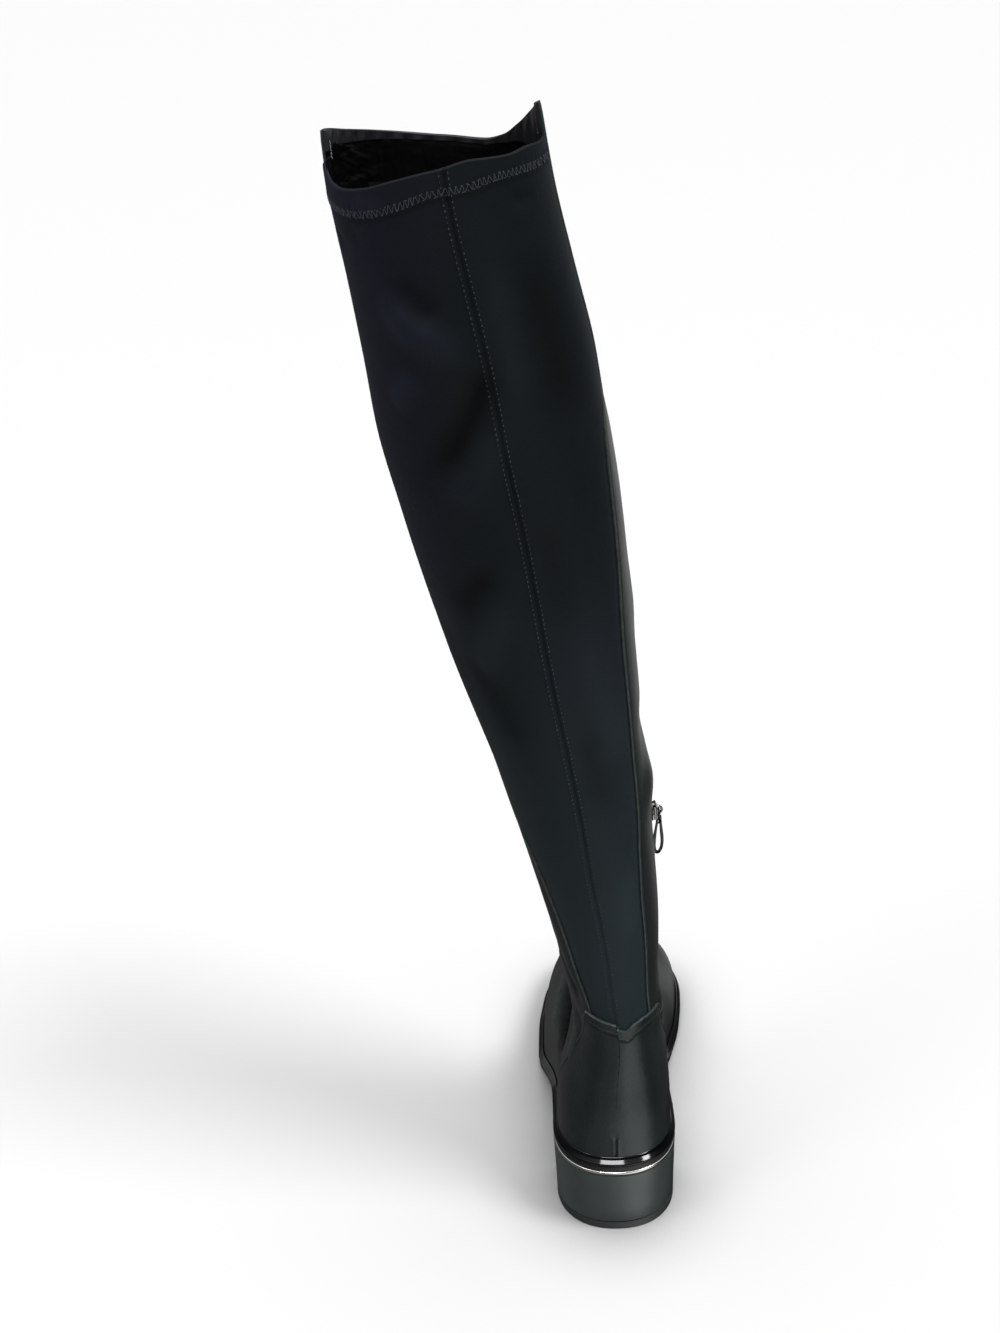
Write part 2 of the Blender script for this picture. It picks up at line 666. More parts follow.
def plainMaterial(name, colour, roughness, bumpMm=0.0, bumpDepth=0.0, **values):
    # moulded, lacquered or plated surfaces: even colour, faint unevenness in the polish
    material, tree, feed = newMaterial(name, colour, **values)
    place = objectPlace(tree)
    haze = noiseOf(tree, place, 14.0, 5.0, 0.6)
    feed(mapRange(tree, haze, 0.0, 1.0, roughness * 0.8, roughness * 1.25), "Roughness")
    if bumpMm:
        addBump(tree, noiseOf(tree, place, bumpMm, 3.0), bumpDepth, 0.2)
    return material


def coatedMaterial(name, dark, light, roughness, streakMm, **values):
    # coated cloth: a thin film over a weave, streaked where it is pulled
    material, tree, feed = newMaterial(name, dark, **values)
    stretched = addNode(tree, "ShaderNodeMapping", Vector=objectPlace(tree), Scale=(1.0, 1.0, 0.22)).outputs[0]
    streaks = noiseOf(tree, stretched, streakMm, 4.0)
    feed(mixColour(tree, streaks, dark, light), "Base Color")
    feed(mapRange(tree, streaks, 0.0, 1.0, roughness * 0.7, roughness * 1.3), "Roughness")
    addBump(tree, streaks, 0.5, 0.6)
    return material


def treadMaterial(name, colour, roughness, ribMm):
    # rubber with fine ribs across the sole on its underside
    material = plainMaterial(name, colour, roughness, 1.4, 0.3)
    tree = material.node_tree
    ribs = ribsOf(tree, objectPlace(tree), ribMm, "Y", {"wave_profile": "TRI"}, Distortion=0.0)
    addBump(tree, combine(tree, "MULTIPLY", ribs, wearOf(tree)), 1.0, 0.8)
    return material


# black calf of the foot and the front of the shaft
calfLeather = leatherMaterial("smooth calf leather", "#0c1010", "#161c1c", 0.36, 0.35)
# the same calf drawn tight over the heel stiffener
counterLeather = leatherMaterial("calf leather over a stiffener", "#0e1313", "#192020", 0.34, 0.3)
# dark blue grey stretch panel
stretchKnit = fabricMaterial("bonded stretch knit", "#0c1314", "#141a1d", "#181928")
# shiny folded strip inside the opening
facingFilm = coatedMaterial("coated facing", "#161618", "#2c2b2f", 0.34, 2.2)
# black coated lining that catches small reflections
coatedLining = coatedMaterial("coated lining", "#040405", "#09080a", 0.3, 3.0, Specular_IOR_Level=0.3)
# dull black lining further down
liningCloth = plainMaterial("brushed lining", "#050506", 0.8, 1.2, 0.4, Specular_IOR_Level=0.15)
# black gloss strip round the sole
patentRand = plainMaterial("glossy moulded rand", "#040506", 0.09, Specular_IOR_Level=0.24)
soleRubber = treadMaterial("ribbed sole rubber", "#0b0c0d", 0.5, 2.6)
silverPlate = plainMaterial("silver plated strip", "#bdbcb8", 0.16, Metallic=1.0)
heelLacquer = plainMaterial("satin lacquered heel", "#323a39", 0.34, 9.0, 0.12)
liftRubber = plainMaterial("hard lift rubber", "#252b2a", 0.5, 1.0, 0.3)
nickelPlate = plainMaterial("nickel plate", "#747473", 0.2, Metallic=1.0)
pullNickel = plainMaterial("dark nickel plate", "#3c3d3e", 0.14, Metallic=1.0)
coilNylon = plainMaterial("nylon zip coil", "#0b0b0c", 0.4, 0.7, 0.3)
zipTape = plainMaterial("woven zip tape", "#08080a", 0.8, 0.6, 0.5, Specular_IOR_Level=0.2)
sewingThread = plainMaterial("bonded sewing thread", "#20262a", 0.5, 0.4, 0.4)
stretchThread = plainMaterial("textured cover thread", "#42474d", 0.7, 0.4, 0.4)
seamThread = plainMaterial("dark cover thread", "#2b3238", 0.7, 0.4, 0.4)
tackThread = plainMaterial("pale tacking thread", "#a5a5ab", 0.7, 0.4, 0.4)
print("materials made")


# seams of the shaft: z, then degrees from the centre back
seams = {
    "outer": (
        (60, 27), (158.9, 28), (189, 36.9), (219.6, 43.3), (250.2, 52.4), (266, 61), (282, 71),
        (300, 79), (340, 85), (480, 87), (665, 87),
    ),
    "inner": (
        (60, 36), (153.6, 42.1), (189.5, 43), (221.7, 43.5), (254.9, 47.5), (281.7, 52.6), (306.8, 54),
        (332, 56), (380.8, 57.8), (425.6, 61.5), (455.1, 63.5), (493.8, 69), (510, 78), (525, 86),
        (560, 88), (665, 88),
    ),
    "back": (
        (60, 0), (158.7, 0), (247.5, 0.5), (291.5, 2.8), (344.9, 4.6), (408.4, 5.6), (476.9, 6),
        (665, 6),
    ),
}
# the top edge: angle, height. The leather stands higher than the stretch panel
leatherRim = (
    (80, 646), (92, 645.5), (125, 640.2), (155, 635.4), (180, 631.6), (200, 629.6), (212, 632),
    (225, 638.2), (245, 647.5), (268, 654), (285, 654),
)
stretchRim = (
    (-90, 640.5), (-70, 639.5), (-56, 640.2), (-38, 638.6), (-20, 638.8), (-4, 635.6), (14, 631.4),
    (32, 627.2), (48, 625.6), (62, 627.6), (74, 631), (92, 633),
)
hemLine = (
    (-90, 631.5), (-57, 631), (-31, 630), (-16, 627), (0, 624.7), (11.5, 620.6), (30, 616),
    (46, 614.6), (66, 616.4), (92, 619.5),
)
leather = {
    "thickness": 1.1, "lift": 0.35, "edgeRadius": 0.5, "footRows": (53.9, 262, 190), "shaftRows": (262, 640, 150),
    "frontColumns": 90, "rearColumns": 14, "rimBlend": 80.0, "dullBelow": -0.4, "dullest": 3.0, "palest": 3.2,
    "wornBelow": 232.0,
    "edge": (0.0, 0.08, 0.2, 0.36, 0.6, 0.9, 1.2, 1.6, 2.0, 2.6, 3.2, 4.6),
    "nearZip": (-9.0, -6.5, -5.0, -4.2, -3.7, -3.3, -3.0, -2.4, 0.0, 2.4, 3.0, 3.3, 3.7, 4.2, 5.0, 6.5, 9.0),
    "fold": {"bead": 0.22, "rise": 0.7, "groove": 0.18, "line": 2.3, "width": 0.45},
}
stretch = {
    "thickness": 0.8, "sunk": 0.75, "tuck": 5.0, "bottom": 136.0, "hemStart": 600.0, "top": 640.0,
    "rimBlend": 100.0, "pucker": 0.35, "puckerPitch": 5.2, "hemDepth": 2.6, "fullFold": 4.6, "sideColumns": 62,
    "edge": (0.0, 2.5, 4.2, 4.8, 5.3, 6.2, 7.4, 9.0, 11.0),
    "nearBack": (0.35, 0.7, 1.1, 1.6, 2.1, 2.6, 3.2, 4.0, 5.2, 7.0), "narrowest": 22.0,
}
zipSizes = {
    "line": 78.0, "bottom": 94.0, "top": 260.0, "depth": 1.5, "toothPitch": 1.25, "toothLength": 2.5,
    "toothWidth": 0.75, "tapeLift": -1.0, "slitHalf": 3.9, "lipAt": 4.6, "lip": 0.35,
}
facingSizes = {
    "from": 87.0, "to": 271.5, "bandDepth": 30.0, "slackAngle": 118.0, "slackWidth": 34.0,
    "depth": ((87, 9.5), (100, 8.5), (120, 7), (140, 5.2), (160, 4.2), (185, 3.2), (205, 3.4),
              (220, 6.5), (235, 14), (250, 18), (271.5, 20)),
}


def outerSeam(z):
    return read(seams["outer"], 1, z)


def innerSeam(z):
    return 360.0 - read(seams["inner"], 1, z)


def backSeam(z):
    return -read(seams["back"], 1, z)


def zipAngle(height):
    return angleFor(zipSizes["line"], height, -1.0)


def makeLeather():
    heights = stations(leather["footRows"], leather["shaftRows"])[:, None]
    edge, nearZip = np.array(leather["edge"]), np.array(leather["nearZip"])
    start, end, middle = outerSeam(heights), innerSeam(heights), zipAngle(heights)
    first, last = shifted(start, heights, edge), shifted(end, heights, -edge[::-1])
    zipBand = shifted(middle, heights, nearZip)
    front = between(first[:, -1:], zipBand[:, :1], leather["frontColumns"])
    rear = between(zipBand[:, -1:], last[:, :1], leather["rearColumns"])
    angle = np.concatenate([first, front, zipBand, rear, last], axis=1)
    top = leather["shaftRows"][1]
    blend = softStep((heights - top + leather["rimBlend"]) / leather["rimBlend"])
    height = heights + blend * (read(leatherRim, 1, angle) - top)
    fromStart, fromEnd = (angle - start) / degreesPerMm(start, heights), (end - angle) / degreesPerMm(end, heights)
    fromEdge = np.minimum(fromStart, fromEnd)
    fromTop = read(leatherRim, 1, angle) - height
    offset = leather["lift"]
    for distance in (fromEdge, fromTop):
        offset = offset - roundEdge(distance, leather["edgeRadius"]) + turnedEdge(distance, **leather["fold"])
    # the slit for the zip
    fromZip = np.abs(angle - middle) / degreesPerMm(middle, heights)
    inZip = softStep((height - zipSizes["bottom"]) / 2.0) * softStep((zipSizes["top"] + 3.0 - height) / 3.0)
    slit = softStep((zipSizes["slitHalf"] - fromZip) / 0.9)
    lip = hump(fromZip - zipSizes["lipAt"], 1.1) * zipSizes["lip"]
    offset = offset + inZip * (lip - slit * zipSizes["depth"])
    outer = place(angle, height, offset)
    inner = place(angle, height, np.minimum(offset, leather["lift"]) - leather["thickness"])
    worn = np.maximum(hump(fromEdge, 1.0), hump(fromTop, 0.8))
    worn = np.maximum(worn, inZip * hump(fromZip - 4.2, 0.6) * 0.6)
    # ridges of the foot are rubbed paler, and its hollows stay dull
    folds = sample(base["folds"], angle, height) * softStep((leather["wornBelow"] - height) / 30.0)
    ridges = np.clip(folds / leather["palest"], 0, 1) * 0.8
    hollows = np.clip((folds - leather["dullBelow"]) / leather["dullest"], -1, 0)
    worn = np.where(folds < leather["dullBelow"], hollows, np.maximum(worn, ridges))
    makeShell("leatherUpper", outer, inner, calfLeather, "upper_leather", wear=worn, replaces="upper")


def stretchLift(angle, z, fromSeam, arc):
    # how far the stretch fabric stands off the form
    rim, line = read(stretchRim, 1, angle), read(hemLine, 1, angle)
    offset = -stretch["sunk"] * (1 - softStep((fromSeam + 0.5) / 5.5)) - 0.35 * (fromSeam < -0.2)
    clear = softStep((fromSeam + 1.0) / 2.0)
    # the hem is double down to its stitches, which gather it a little
    hem = softStep((z - line + stretch["hemDepth"]) / 1.0)
    gather = np.sin(arc * 2 * math.pi / stretch["puckerPitch"] + 1.4 * np.sin(arc / 11.0)) * stretch["pucker"]
    offset = offset + clear * (0.5 * hem - 0.28 * hump(z - line, 1.6))
    offset = offset + clear * gather * hump(z - line, 3.6) * (0.6 + 0.4 * np.sin(arc / 17.0))
    offset = offset - roundEdge(rim - z, 0.7)
    # the seam up the back is a shallow valley between two raised rows
    fromBack = (angle - backSeam(z)) / degreesPerMm(angle, z)
    depth = softStep((z - 165.0) / 130.0) * 0.75 + 0.25
    return offset + depth * (0.28 * hump(np.abs(fromBack) - 2.1, 0.9) - 0.55 * hump(fromBack, 0.7))


def makeStretch():
    z = stations((stretch["bottom"], stretch["hemStart"], 232), (stretch["hemStart"], stretch["top"], 56))[:, None]
    edge, beside = np.array(stretch["edge"]), np.array(stretch["nearBack"])
    nearBack = np.concatenate([-beside[::-1], [0.0], beside])
    outerEnd = shifted(outerSeam(z), z, stretch["tuck"])
    innerEnd = shifted(innerSeam(z), z, -stretch["tuck"]) - 360.0
    middle = backSeam(z)
    room = np.minimum(outerEnd - middle, middle - innerEnd) / degreesPerMm(middle, z)
    narrow = np.minimum(1.0, room / stretch["narrowest"])
    first, last = shifted(innerEnd, z, edge * narrow), shifted(outerEnd, z, -edge[::-1] * narrow)
    centre = shifted(middle, z, nearBack * narrow)
    left = between(first[:, -1:], centre[:, :1], stretch["sideColumns"])
    right = between(centre[:, -1:], last[:, :1], stretch["sideColumns"])
    angle = np.concatenate([first, left, centre, right, last], axis=1)
    blend = softStep((z - stretch["top"] + stretch["rimBlend"]) / stretch["rimBlend"])
    z = z + blend * (read(stretchRim, 1, angle) - stretch["top"])
    height = heightFor(angle, np.minimum(z, 660.0))
    fromSeam = np.minimum(outerEnd - angle, angle - innerEnd) / degreesPerMm(angle, height) - stretch["tuck"]
    arc = (angle - middle) / degreesPerMm(angle, height)
    offset = stretchLift(angle, z, fromSeam, arc)
    relief = sample(base["folds"], angle, height) / stretch["fullFold"]
    relief = relief - 0.4 * hump(z - read(hemLine, 1, angle) + 3.0, 1.4) - 0.25 * hump(arc, 1.0)
    makeShell("stretchPanel", place(angle, height, offset), place(angle, height, offset - stretch["thickness"]),
              stretchKnit, "upper_leather", wear=0.5 + 0.5 * relief)


def rearRim(angle):
    return read(stretchRim, 1, np.clip(np.where(angle > 180, angle - 360.0, angle), -90, 92))


def frontRim(angle):
    return read(leatherRim, 1, np.clip(angle, 80, 285))


def makeLining():
    rows, columns, top, blend = 150, 128, 628.0, 108.0
    heights = np.linspace(56.5, top, rows)[:, None]
    angle = np.arange(columns)[None, :] * 360.0 / columns
    rim = np.where((angle > 90) & (angle < 270), frontRim(angle), rearRim(angle))
    height = heights + softStep((heights - top + blend) / blend) * (rim - top - 26.0)
    height = np.broadcast_to(height, (rows, columns))
    outer, inner = (place(angle, height, offset, 0.8) for offset in (-1.3, -1.9))
    makeShell("lining", outer, inner, liningCloth, "lining", closed=True)


def makeFacing():
    # a folded strip of coated leather inside the front of the opening, deepest at the inner corner
    angle = np.linspace(facingSizes["from"], facingSizes["to"], 190)[None, :]
    depth = read(facingSizes["depth"], 1, angle)
    down = stations((0.0, 0.12, 8), (0.12, 0.9, 26), (0.9, 1.0, 8))[::-1, None] * depth
    height = frontRim(angle) - 0.2 - down
    corner = hump(angle - 89.5, 1.6) * 0.9 + hump(angle - 269.0, 1.4) * 0.9
    waves = 0.35 * np.sin(angle * 0.55 + down * 0.16) * softStep(down / 4.0)
    bead = roundEdge(down, 0.5) + roundEdge(depth - down, 0.7)
    outer = place(angle, height, -0.95 + 0 * down)
    inner = place(angle, height, -2.3 + bead - corner + waves)
    makeShell("facing", outer, inner, facingFilm, "upper_leather")


def makeLiningBand():
    # crinkled coated cloth below the facing, where the lining is loose
    angle = np.arange(360.0)[None, :]
    down = np.linspace(facingSizes["bandDepth"], 0.0, 56)[:, None]
    blend = softStep((90.5 - np.abs(angle - 180.0)) / 1.5)
    rim = rearRim(angle) + (frontRim(angle) - rearRim(angle)) * blend
    height = rim - 1.2 - 0.4 * blend - down
    crinkle = np.array([[
        noise.fractal(Vector((math.cos(turn) * 5.5, math.sin(turn) * 5.5, deep * 0.13 * 1.6)), 0.6, 2.2, 3)
        for turn in np.radians(angle[0])] for deep in down[:, 0]])
    fade = softStep(down / 4.0) * softStep((facingSizes["bandDepth"] - down) / 3.0)
    slack = 0.12 + 0.88 * softStep(1.0 - np.abs(angle - facingSizes["slackAngle"]) / facingSizes["slackWidth"])
    offset = -1.6 + 0.7 * crinkle * fade * slack - 0.3 * fade
    outer, inner = place(angle, height, -1.15 + 0 * down), place(angle, height, np.minimum(offset, -1.25))
    makeShell("liningBand", outer, inner, coatedLining, "lining", closed=True)


makeLeather()
makeStretch()
makeLining()
makeFacing()
makeLiningBand()
print("shaft and vamp made")

counter = {
    "foot": 5.3, "top": 148.0, "thickness": 1.2, "lift": 0.75, "padding": 0.55, "band": 6.5,
    "dartTop": 78, "rows": ((0, 0.88, 60), (0.88, 1, 34)), "columns": 161,
    "rimAt": (-1.0, -0.75, -0.48, -0.3, -0.16, -0.127, -0.09, 0.0, 0.24, 0.6, 1.0),
    "rim": (147.0, 149.6, 151.0, 150.0, 147.3, 146.9, 147.2, 149.0, 152.7, 154.6, 156.0),
    "fronts": ((0, 63, 76), (0.25, 48, 67), (0.5, 39, 57), (0.75, 30.5, 46), (1, 20.5, 37)),
    "fold": {"bead": 0.3, "rise": 0.6, "groove": 0.2, "line": 2.4, "width": 0.5},
    "hollows": ((-13, 6, 0.8), (10, 7, -0.7), (21, 5, 0.6)),       # x, width, depth
}


def counterGrid(share, reach):
    # points on the counter: share up its height, reach from -1 at the inner edge to 1 at the outer edge
    share, reach = np.broadcast_arrays(share, reach)
    side = np.where(reach >= 0, 1.0, -1.0)
    front = np.where(side > 0, read(counter["fronts"], 1, share), read(counter["fronts"], 2, share))

    def level(t):
        return feather(t) + counter["foot"] + (counter["top"] - feather(t) - counter["foot"]) * share

    inside, outside = (np.full(share.shape, t) for t in (form["ankleLine"], form["behind"]))
    back = halve(inside, outside, lambda t: inMiddle(t, level(t)))
    t = back + (front - back) * (1 - np.cos(np.abs(reach) * math.pi / 2))
    z = level(t) + share ** 3 * (np.interp(reach, counter["rimAt"], counter["rim"]) - counter["top"])
    x = np.where(np.abs(reach) < 1e-6, legCentre(z), surfaceX(t, z, side))
    return np.stack([x, t, z], -1)


def counterSurface(share, reach):
    # grid, normal, distance below the top edge and distance in from the side edges
    grid = counterGrid(share, reach)
    normal = unit(np.cross(np.gradient(grid, axis=1), np.gradient(grid, axis=0)))
    normal = normal * np.sign(normal[:, -1:, 0:1])
    fromTop = np.maximum(grid[-1:, :, 2] - grid[..., 2], 0.0)
    length = runLength(grid, 1)
    return grid, normal, fromTop, np.minimum(length, length[:, -1:] - length)


def makeCounter():
    reach = np.linspace(-1, 1, counter["columns"])
    reach = np.sign(reach) * (1 - (1 - np.abs(reach)) ** 1.25)
    grid, normal, fromTop, fromSide = counterSurface(stations(*counter["rows"])[:, None], reach[None, :])
    lift = counter["lift"] + counter["thickness"] * counter["padding"]
    lift = lift - roundEdge(fromTop, 0.8) - roundEdge(fromSide, 0.6)
    # the turned band along the top, its sewn line, and the dart at the foot of the centre back
    lift = lift + 0.4 * softStep((counter["band"] - fromTop) / 0.9)
    lift = lift - 0.4 * hump(fromTop - counter["band"] - 0.5, 0.6) + turnedEdge(fromSide, **counter["fold"])
    x, t, z = np.moveaxis(grid, -1, 0)
    atBack = (t < 34.0) * softStep((counter["dartTop"] - z) / 5.0)
    lift = lift + atBack * (0.22 * hump(np.abs(x) - 1.5, 0.8) - 0.75 * hump(x, 0.55))
    # long soft hollows pulled down from the band by wear
    for middle, width, depth in counter["hollows"]:
        lift = lift - depth * hump(x - middle - (z - 100.0) * 0.05, width) * hump(z - 112.0, 26.0) * (t < 45.0)
    worn = np.maximum(hump(fromTop, 0.7), hump(fromSide, 1.0))
    worn = np.maximum(worn, 0.5 * hump(fromTop - counter["band"] + 0.8, 0.7))
    outer, inner = (grid + normal * (lift - drop)[..., None] for drop in (0.0, counter["thickness"]))
    makeShell("heelCounter", outer, inner, counterLeather, "counter_leather", wear=worn, replaces="heel_counter")


quarter = {
    "lift": 0.9, "thickness": 0.7, "fold": {"bead": 0.22, "rise": 0.6, "groove": 0.2, "line": 2.4, "width": 0.5},
    "front": ((64, 130), (73, 126.5), (80, 118), (90, 107), (100, 96), (108, 86), (114, 75),
              (118, 62), (117, 52), (113, 45), (108, 41)),
    "rear": ((36, 134), (38, 128), (40, 121), (43, 112), (47, 102), (51, 92), (55, 82),
             (60, 73), (65, 66), (70, 59), (74, 52)),
}


def ringAt(t, z, side):
    # angle and ring height of a point given by t and z
    height = np.array(z, dtype=float)
    for _ in range(30):
        height = height + 0.7 * (z - heightOn(height, t))
    return angleFor(t, height, side), height


def alongRows(rows, share):
    rows = np.array(rows)
    keys = np.linspace(0, 1, len(rows))
    return np.stack([read(np.column_stack([keys, rows[:, i]]), 1, share) for i in (0, 1)], -1)


def makeQuarter():
    # the inner quarter overlaps the vamp with a rounded front edge, and runs back under the counter
    down = np.concatenate([[0.0, 0.004, 0.01, 0.02, 0.035], np.linspace(0.05, 1.0, 84)])
    across = np.concatenate([[0.0, 0.004, 0.01, 0.02, 0.035, 0.05, 0.07, 0.09], np.linspace(0.11, 1.0, 34)])
    front, rear = alongRows(quarter["front"], down), alongRows(quarter["rear"], down)
    spots = front[:, None] + (rear - front)[:, None] * across[None, :, None]
    t = spots[..., 0]
    angle, height = ringAt(t, np.maximum(spots[..., 1], feather(t) + 4.6), -1.0)
    surface = place(angle, height)
    near = np.minimum(runLength(surface, 1), runLength(surface, 0))
    lift = quarter["lift"] - roundEdge(near, 0.5) + turnedEdge(near, **quarter["fold"])
    outer, inner = (place(angle, height, lift - drop) for drop in (0.0, quarter["thickness"]))
    makeShell("innerQuarter", outer, inner, calfLeather, "upper_leather", wear=hump(near, 1.0))


makeCounter()
makeQuarter()
print("counter and quarter made")

bottom = {
    "around": 260, "heelPoints": 121, "breastPoints": 33, "seat": 49.6, "trim": 2.6, "trimDepth": 4.0,
    "trimBack": 1.0, "lift": 5.5, "breastTop": 62.0, "breastFloor": 58.0,
    "rearTaper": 3.9, "sideTaper": 0.9, "inset": 0.2,
    # inset from the outline and rise over the feather line
    "rand": ((3.7, 0.05), (1.6, 0), (0.25, 0.15), (0, 0.7), (0.12, 1.5), (0.7, 2.1), (1.4, 2.85), (2.1, 3.6),
             (2.45, 4.2), (2.8, 4.8), (3.4, 4.9), (3.7, 2.5)),
    # inset and rise over the bottom or under the top of the outsole
    "low": ((3.2, 0.5), (2.6, 0.06), (1.3, 0), (0.75, 0.25), (0.5, 0.8)),
    "high": ((0.5, -0.5), (0.65, -0.12), (1, 0)),
    "insole": ((0, 0), (0, 2.4), (0.2, 2.8), (0.6, 3)),
    # share of the height and inset of the heel block, inset and height of the top lift
    "block": ((0, 0.5), (0.008, 0.15), (0.02, 0), (0.3, 0.1), (0.65, 0.06), (0.94, 0.02), (0.975, 0.12),
              (0.992, 0.32), (1, 0.6)),
    "topLift": ((0.5, 0), (0.1, 0.3), (0, 0.8), (0, 4.9), (0.15, 5.35), (0.5, 5.5)),
}
soleAngle = np.arange(bottom["around"]) * 2 * math.pi / bottom["around"]
soleSide = np.where(soleAngle <= math.pi, 1.0, -1.0)


def outlineRing(inset, heightAt, rise):
    t = inset + (form["soleLength"] - 2 * inset) * (1 - np.cos(soleAngle)) / 2
    half = outlineHalf(t, soleSide, inset)
    half[[0, bottom["around"] // 2]] = 0.0
    return np.stack([half * soleSide, t, heightAt(t) + rise], -1)


def heelSide(rear, front, inset):
    reach = np.linspace(-1, 1, bottom["heelPoints"])
    t = rear + (front - rear) * (1 - np.cos(np.abs(reach) * math.pi / 2))
    half = (read(form["outline"], 1, t) - inset) * endRound(t - rear, form["heelCap"] - inset, form["endRoundness"])
    return np.where(reach < 0, half, -half), t


def heelLoop(rear, front, inset, height):
    x, t = heelSide(rear, front, inset)
    breastX = np.linspace(-x[0], x[0], bottom["breastPoints"])[1:-1]
    x, t = np.concatenate([x, breastX]), np.concatenate([t, np.full(len(breastX), front)])
    return np.stack([x, t, np.full(len(x), height)], -1)


def makeLayer(name, loops, material, slot, **options):
    # loops round the sole, closed by strips across it, so that both faces follow its curve
    loops = np.array(loops)
    count, points = loops.shape[:2]
    half = points // 2
    faces = [tuple(face) for face in gridFaces(count, points, 0, closed=True)]
    for first in (0, (count - 1) * points):
        faces.append((first, first + 1, first + points - 1))
        for j in range(1, half - 1):
            faces.append((first + j, first + j + 1, first + points - j - 1, first + points - j))
        faces.append((first + half - 1, first + half, first + half + 1))
    piece = makePiece(name, loops, faces, material, slot, **options)
    work = bmesh.new()
    work.from_mesh(piece.data)
    bmesh.ops.recalc_face_normals(work, faces=work.faces)
    work.to_mesh(piece.data)
    work.free()


def makeRand():
    profile = smoothLoop(bottom["rand"], 48)
    loops = [outlineRing(max(inset, 0.0), feather, rise) for inset, rise in profile]
    return makeLathe("rand", loops, patentRand, "glossy_rand", closed=True, replaces="rand", sharp=80.0)


def makeOutsole():
    loops = [outlineRing(inset, soleBottom, rise) for inset, rise in bottom["low"]]
    loops += [outlineRing(inset, soleTop, rise) for inset, rise in bottom["high"]]
    under = np.repeat([1.0] * 3 + [0.0] * 5, bottom["around"])
    makeLayer("outsole", loops, soleRubber, "sole_rubber", replaces="outsole", wear=under)


def makeInsole():
    inset = form["ledge"] + form["wall"] + 0.6
    loops = [outlineRing(inset + extra, feather, rise) for extra, rise in bottom["insole"]]
    makeLayer("insole", loops, liningCloth, "lining", replaces="insole")


def makeHeel():
    top, low = bottom["seat"] - form["gap"] - bottom["trim"], bottom["lift"] + form["gap"]
    loops = []
    for share, inset in bottom["block"]:
        front = bottom["breastFloor"] + (bottom["breastTop"] - bottom["breastFloor"]) * share
        edge = bottom["inset"] + inset
        loops.append(heelLoop(bottom["rearTaper"] * (1 - share) + edge, front - inset,
                              bottom["sideTaper"] * (1 - share) + edge, low + (top - low) * share))
    core = bottom["trimDepth"] + bottom["inset"] + form["gap"]
    for height in (top, bottom["seat"] - form["gap"]):
        loops.append(heelLoop(core, bottom["breastTop"] - 0.6, core, height))
    makeLathe("heelBlock", loops, heelLacquer, "satin_heel", replaces="heel_block")
    rear, side = bottom["rearTaper"] + bottom["inset"], bottom["sideTaper"] + bottom["inset"]
    loops = [heelLoop(rear + inset, bottom["breastFloor"] - inset, side + inset, z) for inset, z in bottom["topLift"]]
    makeLathe("topLift", loops, liftRubber, "lift_rubber", replaces="top_lift")


def makeTrim():
    low, high = bottom["seat"] - bottom["trim"], bottom["seat"] - form["gap"]
    profile = ((1.0, low), (0.45, low + 0.05), (0.2, low + 0.4), (0.12, low + 1.15), (0.2, high - 0.4),
               (0.45, high - 0.05), (1.0, high), (bottom["trimDepth"], high), (bottom["trimDepth"], low))
    lattice = []
    for inset, height in profile:
        x, t = heelSide(inset, bottom["breastTop"] - bottom["trimBack"], inset)
        lattice.append(np.stack([x, t, np.full(len(x), height)], -1))
    return makeLathe("metalTrim", np.stack(lattice, axis=1), silverPlate, "silver_trim", replaces="metal_trim",
                     sharp=60.0)


rand = makeRand()
makeOutsole()
makeHeel()
metalTrim = makeTrim()
makeInsole()
print("sole and heel made")

# the zip in its slit: two woven tapes, two rows of coil teeth, then the slider and its hanging pull
slider = {
    "height": 254.0, "standoff": 2.0, "depth": 3.2, "bail": 2.7, "bailWire": 0.72, "plateHalf": 4.2,
    "neck": ((0, 5), (1.3, 3.4), (0, 0.8), (-1.3, 3.4)),
    # the right half of the plate: wide shoulders, a waist and a narrower tail
    "plate": ((0, 5.9), (2.6, 5.3), (4.2, 3.4), (4.1, 0.6), (3.2, -2.4), (2.9, -4.6), (1.7, -5.8), (0, -6)),
    "plateEdge": ((0, 1), (0.12, 0.35), (0.35, 0), (0.65, 0), (0.88, 0.35), (1, 1), (1.12, 2.4)),
}
pull = {
    "lift": 0.95, "lean": 0.5, "linkTurn": 8.0, "loopTurn": 58.0, "wire": 0.72, "loopWire": 0.78, "loopSwell": 0.26,
    "link": ((0, 0), (1.5, -0.1), (2.1, -1.3), (1.9, -3.2), (1.3, -4.9), (0, -5.6)),
    "loop": ((0, -4.2), (0.95, -4.6), (1.35, -5.9), (1.45, -7.8), (1.9, -11), (2.6, -15), (3.2, -19.4),
             (3.4, -23.4), (2.8, -26.8), (1.5, -28.7), (0, -29.3)),
    "collarWide": (1.2, 2, 2.15, 2.15, 2, 1.2), "collarDeep": (0.6, 1, 1.1, 1.1, 1, 0.6),
}


def mirrored(half):
    # a whole outline from its right half, which starts and ends on the middle line
    return half + tuple((-x, y) for x, y in half[-2:0:-1])


def formPath(angle, height, offset):
    return place(angle, height, offset), outward(angle, height)


def inSlit(height, across, offset):
    return formPath(shifted(zipAngle(height), height, -across), height, offset)


def makeTape():
    height = np.linspace(zipSizes["bottom"] + 0.6, zipSizes["top"] + 2.0, 180)[:, None]
    across = np.array([-3.3, -2.6, -1.8, -1.0, -0.4, 0.0, 0.4, 1.0, 1.8, 2.6, 3.3])[None, :]
    rise = zipSizes["tapeLift"] + 0.25 * hump(across, 1.4)
    outer, inner = (inSlit(height, across, rise - drop)[0] for drop in (0.0, 0.4))
    makeShell("zipTapes", outer, inner, zipTape, "zip_coil", replaces="zip_chain")


